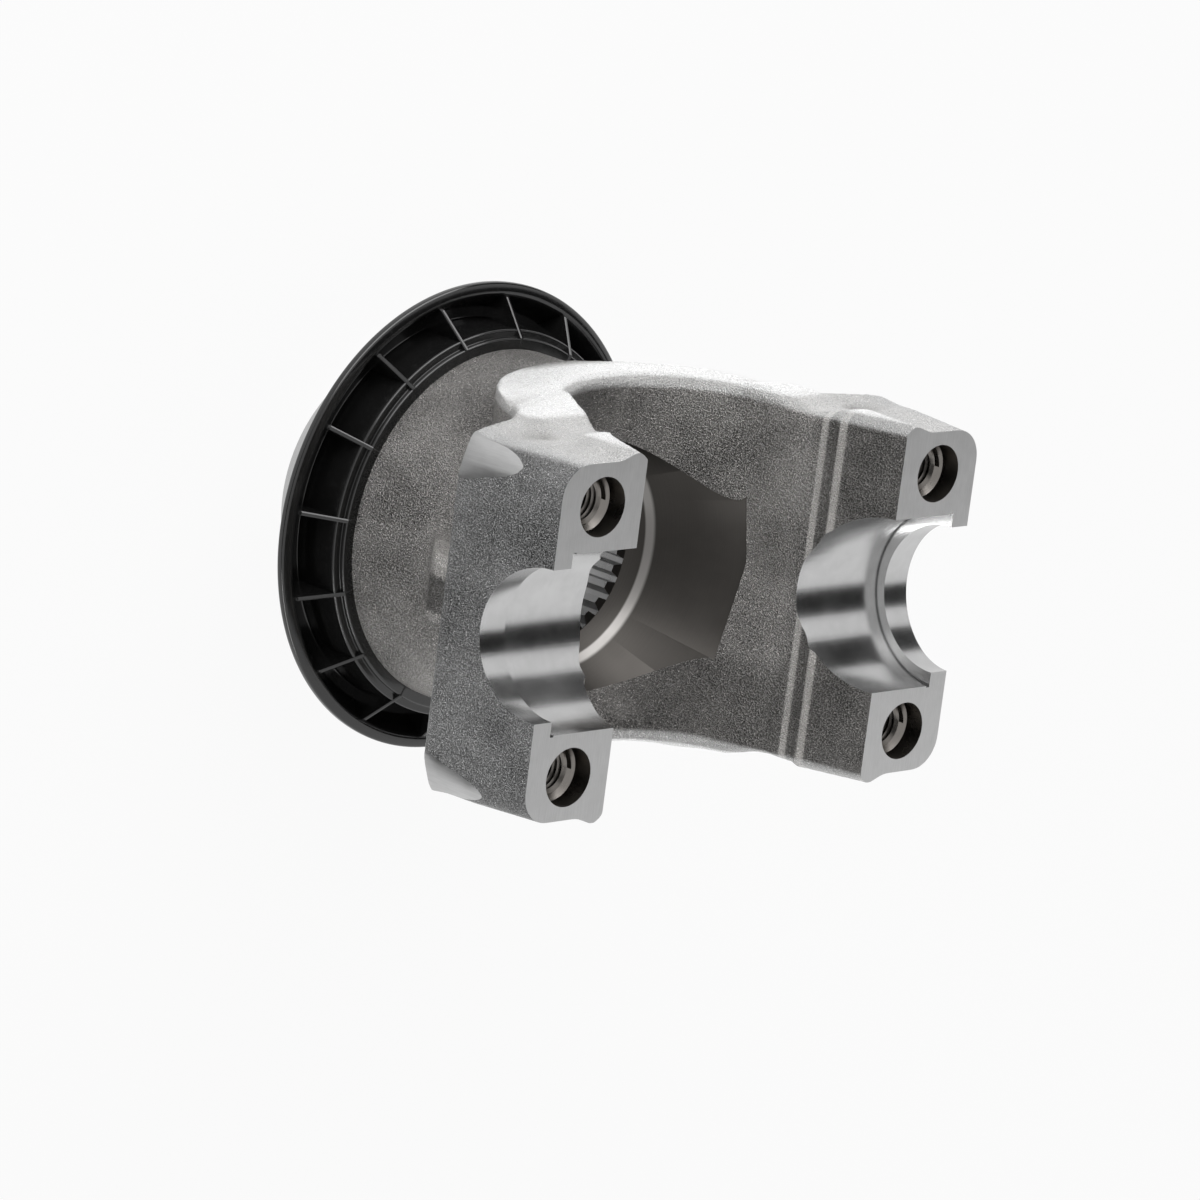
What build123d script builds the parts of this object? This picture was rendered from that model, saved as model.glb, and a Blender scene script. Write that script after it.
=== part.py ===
"""Half-round end yoke with a moulded dirt shield pressed on its hub.

Z is the hub axis, with the ears up and the hub end on z = 0.  X is the axis of the
cross trunnions, so the two ears stand at -X and +X.  All sizes are in millimetres.
"""

import os
from math import cos, radians, sin, tan

from build123d import *

os.makedirs("parts", exist_ok=True)

# Fork: the cap pads, the saddles and the ears
pad_height = 168.0            # hub end to the machined cap pads
saddle_d = 55.0               # bearing cap bore, a half circle in each ear
saddle_drop = 0.7             # saddle axis below the pads
shoulder_span = 164.8         # between the two locating shoulders
lip_d = 46.6                  # bore through the locating lips
groove_width = 1.4            # relief groove at the foot of each shoulder
groove_depth = 0.5
ear_gap = 112.6               # between the ears at the pads
ear_span = 179.2              # over the ears at the pads
ear_width = 108.8             # along Y at the pads
ear_corner_r = 10.0
ear_depth = 39.5              # pads to the back edge of the ears, at their outer face
ear_root_depth = 50.5         # pads to the back of the ears, beside the arms
outer_draft = 7.2             # degrees, outer faces lean out toward the hub
swing_d = 206.4               # turned over the ears' rear corners
crease_depth = 33.0           # shallow valley across each ear's side
crease_r = 10.0
crease_cut = 0.9
crease_length = 133.0

# Arms: a flat-sided band that runs round the fork, inside and out
land_width = 116.0            # along Y over the flat sides, beside the hub
land_full_depth = 74.0        # pads to where the sides reach that width
root_width = 111.6            # along Y at the ears' roots
band_r = 60.5                 # outer curve of the band, seen along Y
band_depth = 36.5             # pads to the centre of that curve
band_side_angle = 22.0        # where the curve turns into the straight side
pocket_r = 8.0
throat_face_depth = 20.0      # straight inner face of each ear
throat_face_half = 50.5       # half gap at the foot of that face
ridge_half = 46.6             # half gap at the forging ridges
ridge_pitch = 7.5             # between the two ridges
ridge_height = 1.3
hollow_r = 60.0               # curve of the hollow's floor at the hub axis, seen along Y
hollow_depth = 26.5           # pads to that curve's centre
hollow_plus_r = 42.3          # the same curve at the +Y side, whose forging lies off centre
hollow_plus_depth = 35.0
hollow_plus_x = 5.0
hollow_plus_turn_x = 3.9      # middle of the gap there, at the turn below
hollow_minus_r = 50.0         # and at the -Y side
hollow_minus_depth = 18.5
hollow_turn_depth = 55.0      # pads to where the curve ends in the side walls
gusset_reach = 73.0           # foot rib under each ear, from the hub axis
gusset_half = 11.0
gusset_top_depth = 46.0
gusset_low_depth = 84.0
gusset_r = 4.0

# Hub: turned and splined
barrel_d = 113.0              # forged barrel
barrel_top_depth = 58.0
shoulder_depth = 119.0        # pads to the shoulder that the shield stops on
seat_d = 105.0                # shield seat
seat_length = 22.0
journal_d = 88.0              # seal journal
journal_chamfer = 2.0
bowl_floor_d = 72.0           # turned bowl, small end
bowl_floor_depth = 84.0
bowl_rim_d = 106.0            # turned bowl, large end
bowl_rim_depth = 55.5
spline_depth = 88.0           # pads to the start of the spline
spline_major_d = 63.0
spline_minor_d = 57.0
spline_teeth = 32
spline_space_share = 0.62     # of the pitch, at the bore
spline_tip_share = 0.45       # of that space, at the root circle
relief_d = 66.0               # counterbore at the hub end
relief_length = 16.0

# Cap bolt holes
bolt_x = 145.2                # spacing along the trunnion axis
bolt_y = 82.2                 # spacing across it
counterbore_d = 18.2
counterbore_depth = 6.5
thread_d = 14.0
thread_depth = 30.0
drill_point_angle = 59.0      # half angle of the drill point

# Dirt shield: one moulding, pressed on the seat against the shoulder
shield_clearance = 0.0        # press fit, face to face
collar_wall = 7.5             # bore to the inner of two small steps at the front
collar_tread = 2.4            # from there to the outer step
collar_step = 1.8             # axial height of each step
channel_width = 2.6           # channel floor, outside the collar
channel_drop = 18.5           # collar's front to the channel floor
rim_d = 150.6
rim_width = 3.7               # flat land of the rim
rim_drop = 9.9                # collar's front to the rim's front
rim_thickness = 3.9
rim_chamfer = 1.2
shield_wall = 2.6
rib_count = 16
rib_thickness = 1.3
rib_angle = 17.1              # first rib, from +X
rib_tip_gap = 0.6             # rib's tip to the rim's land
rib_tip_rise = 0.7            # rib's tip over the rim's front
rib_root_drop = 0.8           # collar's front to the rib's root
rib_sink = 0.8                # ribs run this far into the wall below them

# Working values from the driving sizes
ear_back_half = ear_span / 2 + ear_depth * tan(radians(outer_draft))
saddle_height = pad_height - saddle_drop
shoulder_height = pad_height - shoulder_depth
seat_foot = shoulder_height - seat_length
overshoot = 10.0              # long tools run this far past a face
past = 1.0                    # short ones
hollow_reach = land_width / 2 + past


def z_of(depth):
    """Height above the hub end of a point that lies depth below the pads."""
    return pad_height - depth


def hollow_gap(radius, centre_depth):
    """Half width of the hollow at its turn, where its curve has this radius and centre."""
    return (radius**2 - (hollow_turn_depth - centre_depth) ** 2) ** 0.5


def hollow_half(side, end_x, end_depth, end_r):
    """Half of the hollow's floor: a cone that narrows toward one side of the fork."""
    way = Vector(end_x, side * land_width / 2, hollow_depth - end_depth)
    grown = (hollow_r - end_r) * overshoot / way.length
    start = Vector(0, 0, z_of(hollow_depth)) - way.normalized() * overshoot
    along = (Align.CENTER, Align.CENTER, Align.MIN)
    below = (Align.CENTER, Align.MAX if side < 0 else Align.MIN, Align.MAX)
    with BuildPart() as half_cut:
        with Locations(Plane(origin=start, z_dir=way)):
            Cone(hollow_r + grown, end_r - grown, way.length + 2 * overshoot, align=along)
        with Locations((0, 0, z_of(hollow_turn_depth))):
            Box(4 * band_r, hollow_reach, 4 * band_r, align=below, mode=Mode.INTERSECT)
    return half_cut.part


# Arms and ears share one outline, seen along Y
with BuildPart() as arms:
    with BuildSketch(Plane.XZ):
        with BuildLine():
            band_centre = z_of(band_depth)
            side_x = band_r * cos(radians(band_side_angle))
            side_z = band_centre - band_r * sin(radians(band_side_angle))
            ThreePointArc((-side_x, side_z), (0, band_centre - band_r), (side_x, side_z))
            Polyline(
                (side_x, side_z),
                (side_x, z_of(ear_root_depth)),
                (ear_back_half, z_of(ear_depth)),
                (ear_span / 2, pad_height),
                (-ear_span / 2, pad_height),
                (-ear_back_half, z_of(ear_depth)),
                (-side_x, z_of(ear_root_depth)),
                (-side_x, side_z),
            )
        make_face()
        pockets = vertices().filter_by(lambda v: abs(v.Y - z_of(ear_root_depth)) < 0.01)
        fillet(pockets, pocket_r)
    extrude(amount=land_width / 2, both=True)

# Outline of the ears and arms, seen along X: the sides spread toward the hub
with BuildPart() as envelope:
    with BuildSketch(Plane.YZ):
        with BuildLine():
            side_points = [
                (ear_width / 2, pad_height),
                (root_width / 2, z_of(ear_root_depth)),
                (land_width / 2, z_of(land_full_depth)),
                (land_width / 2, z_of(band_depth + band_r + overshoot)),
            ]
            opposite = [(-y, z) for y, z in reversed(side_points)]
            Polyline(*side_points, *opposite, close=True)
        make_face()
    extrude(amount=ear_back_half + past, both=True)

# The fork as forged: both outlines, rounded ear corners, and a shallow valley on each side
with BuildPart() as fork:
    add(arms.part)
    add(envelope.part, mode=Mode.INTERSECT)
    upright = fork.edges().filter_by(lambda e: abs(e.tangent_at(0.5).Z) > 0.9)
    fillet(upright.filter_by(lambda e: abs(e.center().X) > ear_span / 2), ear_corner_r)
    for side in (-1, 1):
        crease_share = crease_depth / ear_root_depth
        crease_half = (ear_width + (root_width - ear_width) * crease_share) / 2
        crease_y = side * (crease_half + crease_r - crease_cut)
        with Locations(Location((0, crease_y, z_of(crease_depth)), (0, 90, 0))):
            Cylinder(crease_r, crease_length, mode=Mode.SUBTRACT)

# Foot rib under each ear, where the arm runs into the barrel
with BuildPart() as gusset:
    with BuildSketch(Plane.XZ):
        with BuildLine():
            Polyline(
                (barrel_d / 2 - overshoot, z_of(gusset_low_depth)),
                (barrel_d / 2, z_of(gusset_low_depth)),
                (gusset_reach, z_of(gusset_low_depth - (gusset_reach - barrel_d / 2))),
                (gusset_reach, z_of(gusset_top_depth)),
                (barrel_d / 2 - overshoot, z_of(gusset_top_depth)),
                close=True,
            )
        make_face()
    extrude(amount=gusset_half, both=True)
    fillet(gusset.edges().filter_by(Axis.Z).group_by(Axis.X)[-1], gusset_r)

# Turned outside of the hub, from the journal to the top of the forged barrel
with BuildPart() as hub:
    with BuildSketch(Plane.XZ):
        with BuildLine():
            Polyline(
                (0, 0),
                (journal_d / 2, 0),
                (journal_d / 2, seat_foot),
                (seat_d / 2, seat_foot),
                (seat_d / 2, shoulder_height),
                (barrel_d / 2, shoulder_height),
                (barrel_d / 2, z_of(barrel_top_depth)),
                (0, z_of(barrel_top_depth)),
                close=True,
            )
        make_face()
    revolve(axis=Axis.Z)
    chamfer(hub.edges().filter_by(GeomType.CIRCLE).sort_by(Axis.Z)[0], journal_chamfer)

# Straight inner faces of the ears, with the two forging ridges at their feet
with BuildPart() as gap_cut:
    with BuildSketch(Plane.XZ):
        with BuildLine():
            half_points = [
                (ear_gap / 2, pad_height + overshoot),
                (ear_gap / 2, pad_height),
                (throat_face_half, z_of(throat_face_depth)),
                (ridge_half + ridge_height, z_of(throat_face_depth + ridge_height)),
                (ridge_half + 2 * ridge_height, z_of(throat_face_depth + ridge_pitch / 2)),
                (ridge_half, z_of(throat_face_depth + ridge_pitch)),
            ]
            mirrored = [(-x, z) for x, z in reversed(half_points)]
            Polyline(*half_points, *mirrored, close=True)
        make_face()
    extrude(amount=land_width, both=True)

# Hollow between the arms: its round floor narrows and rises from the hub axis outward
with BuildPart() as hollow_floor_cut:
    add(hollow_half(1, hollow_plus_x, hollow_plus_depth, hollow_plus_r))
    add(hollow_half(-1, 0, hollow_minus_depth, hollow_minus_r))

with BuildPart() as hollow_side_cut:
    ridge_z = z_of(throat_face_depth + ridge_pitch)
    turn_z = z_of(hollow_turn_depth)
    stations = (
        (-land_width / 2, 0, hollow_gap(hollow_minus_r, hollow_minus_depth)),
        (0, 0, hollow_gap(hollow_r, hollow_depth)),
        (land_width / 2, hollow_plus_turn_x, hollow_gap(hollow_plus_r, hollow_plus_depth)),
    )
    for station_y, middle, half in stations:
        with BuildSketch(Plane.XZ.offset(-station_y)):
            Polygon(
                (middle - half, turn_z),
                (middle + half, turn_z),
                (ridge_half, ridge_z),
                (-ridge_half, ridge_z),
                align=None,
            )
    loft(ruled=True)

# Turned inside of the hub: bowl, lead-in, spline bore and end relief
with BuildPart() as bore_cut:
    with BuildSketch(Plane.XZ):
        with BuildLine():
            Polyline(
                (0, -past),
                (relief_d / 2, -past),
                (relief_d / 2, relief_length),
                (spline_minor_d / 2, relief_length),
                (spline_minor_d / 2, z_of(spline_depth)),
                (spline_major_d / 2, z_of(spline_depth)),
                (bowl_floor_d / 2, z_of(bowl_floor_depth)),
                (bowl_rim_d / 2, z_of(bowl_rim_depth)),
                (0, z_of(bowl_rim_depth)),
                close=True,
            )
        make_face()
    revolve(axis=Axis.Z)

# One space of the internal spline
with BuildPart() as spline_cut:
    pitch_angle = 360 / spline_teeth
    with BuildSketch(Plane.XY.offset(relief_length)):
        root = spline_minor_d / 2 - past
        tip = spline_major_d / 2
        half_root = radians(pitch_angle * spline_space_share / 2)
        half_tip = half_root * spline_tip_share
        with PolarLocations(0, spline_teeth):
            Polygon(
                (root, -root * tan(half_root)),
                (tip, -tip * tan(half_tip)),
                (tip, tip * tan(half_tip)),
                (root, root * tan(half_root)),
                align=None,
            )
    extrude(amount=z_of(spline_depth) + past - relief_length)

# Cross bearing saddles, bored through both ears
with BuildPart() as saddle_cut:
    with Locations(Location((0, 0, saddle_height), (0, 90, 0))):
        Cylinder(saddle_d / 2, shoulder_span)
        Cylinder(lip_d / 2, 2 * ear_back_half + overshoot)
    for side in (-1, 1):
        groove_x = side * (shoulder_span - groove_width) / 2
        with Locations(Location((groove_x, 0, saddle_height), (0, 90, 0))):
            Cylinder(saddle_d / 2 + groove_depth, groove_width)

# A cap bolt hole: counterbore, cone, thread bore and drill point
with BuildPart() as bolt_cut:
    with BuildSketch(Plane.XZ):
        with BuildLine():
            cone_depth = counterbore_depth + (counterbore_d - thread_d) / 2
            point_depth = thread_depth + thread_d / 2 / tan(radians(drill_point_angle))
            Polyline(
                (0, past),
                (counterbore_d / 2, past),
                (counterbore_d / 2, -counterbore_depth),
                (thread_d / 2, -cone_depth),
                (thread_d / 2, -thread_depth),
                (0, -point_depth),
                close=True,
            )
        make_face()
    revolve(axis=Axis.Z)

with BuildPart() as end_yoke:
    add(fork.part)
    for side in (0, 180):
        add(gusset.part.rotate(Axis.Z, side))
    add(hub.part)
    add(gap_cut.part, mode=Mode.SUBTRACT)
    add(hollow_side_cut.part, mode=Mode.SUBTRACT)
    add(hollow_floor_cut.part, mode=Mode.SUBTRACT)
    with Locations((0, 0, pad_height / 2)):
        Cylinder(swing_d / 2, 2 * pad_height, mode=Mode.INTERSECT)
    add(bore_cut.part, mode=Mode.SUBTRACT)
    add(spline_cut.part, mode=Mode.SUBTRACT)
    add(saddle_cut.part, mode=Mode.SUBTRACT)
    with Locations((0, 0, pad_height)):
        with GridLocations(bolt_x, bolt_y, 2, 2):
            add(bolt_cut.part, mode=Mode.SUBTRACT)

end_yoke.part.label = "end_yoke"
export_step(end_yoke.part, "parts/end_yoke.step")

bore_r = seat_d / 2 + shield_clearance
front_z = shoulder_height
step_1_z = front_z - collar_step
rim_front_z = front_z - rim_drop
rim_back_z = rim_front_z - rim_thickness
channel_z = front_z - channel_drop
back_z = seat_foot
collar_step_r = bore_r + collar_wall
collar_r = collar_step_r + collar_tread
channel_r = collar_r + channel_width
rim_land_r = rim_d / 2 - rim_width
rib_tip_r = rim_land_r - rib_tip_gap

# One rib: its top runs straight from the collar's front down to the rim
with BuildPart() as rib:
    with BuildSketch(Plane.XZ):
        with BuildLine():
            Polyline(
                (collar_step_r, step_1_z - collar_step),
                (collar_step_r, front_z - rib_root_drop),
                (rib_tip_r, rim_front_z + rib_tip_rise),
                (rib_tip_r, rim_front_z - rib_sink),
                (channel_r, channel_z - rib_sink),
                (collar_step_r, channel_z - rib_sink),
                close=True,
            )
        make_face()
    extrude(amount=rib_thickness / 2, both=True)

# Dirt shield: a dished ring with a stepped collar and radial ribs in its channel
with BuildPart() as dirt_shield:
    with BuildSketch(Plane.XZ):
        with BuildLine():
            Polyline(
                (bore_r, back_z),
                (channel_r, back_z),
                (channel_r + shield_wall, channel_z - shield_wall),
                (rim_land_r + shield_wall / 2, rim_back_z),
                (rim_d / 2, rim_back_z),
                (rim_d / 2, rim_front_z),
                (rim_land_r, rim_front_z),
                (channel_r + shield_wall / 2, channel_z),
                (collar_r, channel_z),
                (collar_r, step_1_z),
                (collar_step_r, step_1_z),
                (collar_step_r, front_z),
                (bore_r, front_z),
                close=True,
            )
        make_face()
    revolve(axis=Axis.Z)
    rings = dirt_shield.edges().filter_by(GeomType.CIRCLE)
    rim_edges = rings.filter_by(lambda e: e.radius > rim_d / 2 - 0.01)
    chamfer(rim_edges, rim_chamfer)
    with PolarLocations(0, rib_count, start_angle=rib_angle):
        add(rib.part)

dirt_shield.part.label = "dirt_shield"
export_step(dirt_shield.part, "parts/dirt_shield.step")
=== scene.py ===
"""Half-round end yoke with its moulded dirt shield.

The yoke's forged skin is a blend of distance fields, meshed on a fine grid.  Every
machined face is then cut into it with a closed tool, as the real forging is machined.
Sizes are in millimetres, and meshes are made in metres in the row's frame.
"""

import logging
from dataclasses import dataclass, field
from enum import Enum
from math import cos, hypot, pi, radians, sin, tan
from typing import Any, Optional, Sequence, Union

import bmesh
import bpy
import numpy as np
from mathutils import Matrix, Vector


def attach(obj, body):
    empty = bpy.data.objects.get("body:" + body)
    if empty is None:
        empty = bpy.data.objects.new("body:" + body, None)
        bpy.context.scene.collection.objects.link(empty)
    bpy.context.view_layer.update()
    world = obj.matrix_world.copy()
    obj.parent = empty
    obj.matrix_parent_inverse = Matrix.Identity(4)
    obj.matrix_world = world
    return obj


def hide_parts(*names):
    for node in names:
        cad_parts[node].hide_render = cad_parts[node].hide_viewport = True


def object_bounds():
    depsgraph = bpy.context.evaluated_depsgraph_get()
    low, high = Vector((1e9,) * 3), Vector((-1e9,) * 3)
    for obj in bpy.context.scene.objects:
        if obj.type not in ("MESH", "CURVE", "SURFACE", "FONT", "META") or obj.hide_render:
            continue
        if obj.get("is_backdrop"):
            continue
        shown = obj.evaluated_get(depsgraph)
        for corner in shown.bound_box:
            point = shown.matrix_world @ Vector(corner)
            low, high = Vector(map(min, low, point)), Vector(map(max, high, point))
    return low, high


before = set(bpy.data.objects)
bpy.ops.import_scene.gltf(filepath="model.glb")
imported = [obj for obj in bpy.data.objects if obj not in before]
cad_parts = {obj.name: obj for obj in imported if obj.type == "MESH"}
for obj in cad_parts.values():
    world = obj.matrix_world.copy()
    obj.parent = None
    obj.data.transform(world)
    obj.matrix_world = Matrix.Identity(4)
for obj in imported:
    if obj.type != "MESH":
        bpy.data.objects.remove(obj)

LOG = logging.getLogger("end_yoke")
MM = 0.001
ROOT_BODY = "root"
YOKE_NODE = "end_yoke"
SHIELD_NODE = "dirt_shield"

# Sizes that several classes share, in millimetres

PAD_HEIGHT = 168.0
SADDLE_DROP = 0.7
BARREL_R = 56.5

Point = tuple[float, float, float]
Span = tuple[float, float]
Profile = list[Span]
Skin = tuple[list, list]
Colour = tuple[float, float, float, float]


class Axis(Enum):
    """Axis that a turned tool spins about."""

    X = "x"
    Z = "z"


class Surface(Enum):
    """Finish of a face of the yoke, in the order of its material slots."""

    FORGED = 0
    MILLED = 1
    BORED = 2
    BOWL = 3
    TAPPED = 4
    TURNED = 5


# Shader maths


Number = Union[float, "Wire"]


class Wire:
    """A shader socket that can be used in Python expressions."""

    def __init__(self, graph: "Graph", socket: bpy.types.NodeSocket) -> None:
        """Keep the socket and the graph that new nodes go into."""
        self.graph = graph
        self.socket = socket

    def _with(self, operation: str, *values: Number) -> "Wire":
        """Add a Math node.

        Args:
            operation: The node's operation.
            values: Numbers or wires for its inputs, in order.

        Returns:
            The node's result.
        """
        return self.graph.node("ShaderNodeMath", {"operation": operation}, dict(enumerate(values)))

    def __add__(self, other: Number) -> "Wire":
        """Sum."""
        return self._with("ADD", self, other)

    __radd__ = __add__

    def __sub__(self, other: Number) -> "Wire":
        """Difference."""
        return self._with("SUBTRACT", self, other)

    def __rsub__(self, other: Number) -> "Wire":
        """Difference from a number."""
        return self._with("SUBTRACT", other, self)

    def __mul__(self, other: Number) -> "Wire":
        """Product."""
        return self._with("MULTIPLY", self, other)

    __rmul__ = __mul__

    def __abs__(self) -> "Wire":
        """Absolute value."""
        return self._with("ABSOLUTE", self)

    def at_least(self, other: Number) -> "Wire":
        """Larger of the two."""
        return self._with("MAXIMUM", self, other)

    def step(self, low: float, high: float) -> "Wire":
        """Smooth step from 0 at low to 1 at high."""
        settings = {"interpolation_type": "SMOOTHSTEP", "clamp": True}
        return self.graph.node("ShaderNodeMapRange", settings, {0: self, 1: low, 2: high})

    def past(self, span: Span) -> "Wire":
        """0 before a span in millimetres and 1 past it."""
        return self.step(span[0] * MM, span[1] * MM)

    def short_of(self, span: Span) -> "Wire":
        """1 before a span in millimetres and 0 past it."""
        return 1.0 - self.past(span)


class Graph:
    """Node tree of one material or world, with the coordinates that finishes share."""

    def __init__(self, tree: bpy.types.NodeTree) -> None:
        """Start with an empty tree."""
        tree.nodes.clear()
        self.tree = tree

    def node(
        self,
        kind: str,
        settings: Optional[dict[str, Any]] = None,
        inputs: Optional[dict[Union[int, str], Any]] = None,
        output: Union[int, str] = 0,
    ) -> Wire:
        """Add a node of any type.

        Args:
            kind: The node's type.
            settings: Attributes that are set first.
            inputs: Socket index or name to a number, a colour, a vector or a wire.
            output: Index or name of the output to return.

        Returns:
            The chosen output, or the first input of a node that has no outputs.
        """
        made = self.tree.nodes.new(kind)
        for name, value in (settings or {}).items():
            setattr(made, name, value)
        for key, value in (inputs or {}).items():
            if isinstance(value, Wire):
                self.tree.links.new(value.socket, made.inputs[key])
            else:
                made.inputs[key].default_value = value
        return Wire(self, made.outputs[output] if len(made.outputs) else made.inputs[0])

    def place(self) -> Wire:
        """Position on the object, in metres."""
        return self.node("ShaderNodeTexCoord", output="Object")

    def parts(self, vector: Wire) -> tuple[Wire, Wire, Wire]:
        """Split a vector.

        Args:
            vector: The vector.

        Returns:
            Its three components.
        """
        split = self.node("ShaderNodeSeparateXYZ", None, {0: vector}, "X")
        sockets = split.socket.node.outputs
        return Wire(self, sockets[0]), Wire(self, sockets[1]), Wire(self, sockets[2])

    def vector(self, x: Number, y: Number, z: Number) -> Wire:
        """A vector of three numbers."""
        return self.node("ShaderNodeCombineXYZ", None, {0: x, 1: y, 2: z})

    def scaled(self, vector: Wire, factors: Point) -> Wire:
        """A vector times a vector."""
        return self.node("ShaderNodeVectorMath", {"operation": "MULTIPLY"}, {0: vector, 1: factors})

    def noise(self, vector: Wire, size: float, detail: float = 2.0, rough: float = 0.5) -> Wire:
        """Noise whose blotches are about size millimetres across.

        Args:
            vector: Where to read the noise.
            size: Feature size in millimetres.
            detail: Octaves.
            rough: How much each octave adds.

        Returns:
            A value around 0.5.
        """
        inputs = {"Vector": vector, "Scale": 1.0 / (size * MM), "Detail": detail, "Roughness": rough}
        return self.node("ShaderNodeTexNoise", {"noise_dimensions": "3D"}, inputs)

    def blend(self, factor: Number, low: Union[Colour, Wire], high: Union[Colour, Wire]) -> Wire:
        """Mix of two colours."""
        settings = {"data_type": "RGBA", "blend_type": "MIX"}
        return self.node("ShaderNodeMix", settings, {0: factor, 6: low, 7: high}, 2)

    def bump(self, height: Wire, depth: float) -> Wire:
        """Bump of a height between 0 and 1.

        Args:
            height: The height.
            depth: Its full range, in millimetres.

        Returns:
            The normal.
        """
        return self.node("ShaderNodeBump", None, {"Height": height, "Distance": depth * MM, "Strength": 1.0})

    def finish(self, **inputs: Any) -> None:
        """Close the material with its shader.

        Args:
            inputs: The shader's sockets by name, with underscores for spaces.
        """
        named = {name.replace("_", " "): value for name, value in inputs.items()}
        shader = self.node("ShaderNodeBsdfPrincipled", None, named)
        self.node("ShaderNodeOutputMaterial", None, {"Surface": shader})


def grey(level: float, warmth: float = 0.0) -> Colour:
    """A grey, a little warmer or cooler than neutral."""
    return (level * (1 + warmth), level, level * (1 - warmth), 1.0)


def new_material(name: str) -> tuple[bpy.types.Material, Graph]:
    """Start a material.

    Args:
        name: Its name.

    Returns:
        The material with an empty node tree, and the graph that fills it.
    """
    material = bpy.data.materials.new(name)
    material.use_nodes = True
    return material, Graph(material.node_tree)


# Finishes


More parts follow.
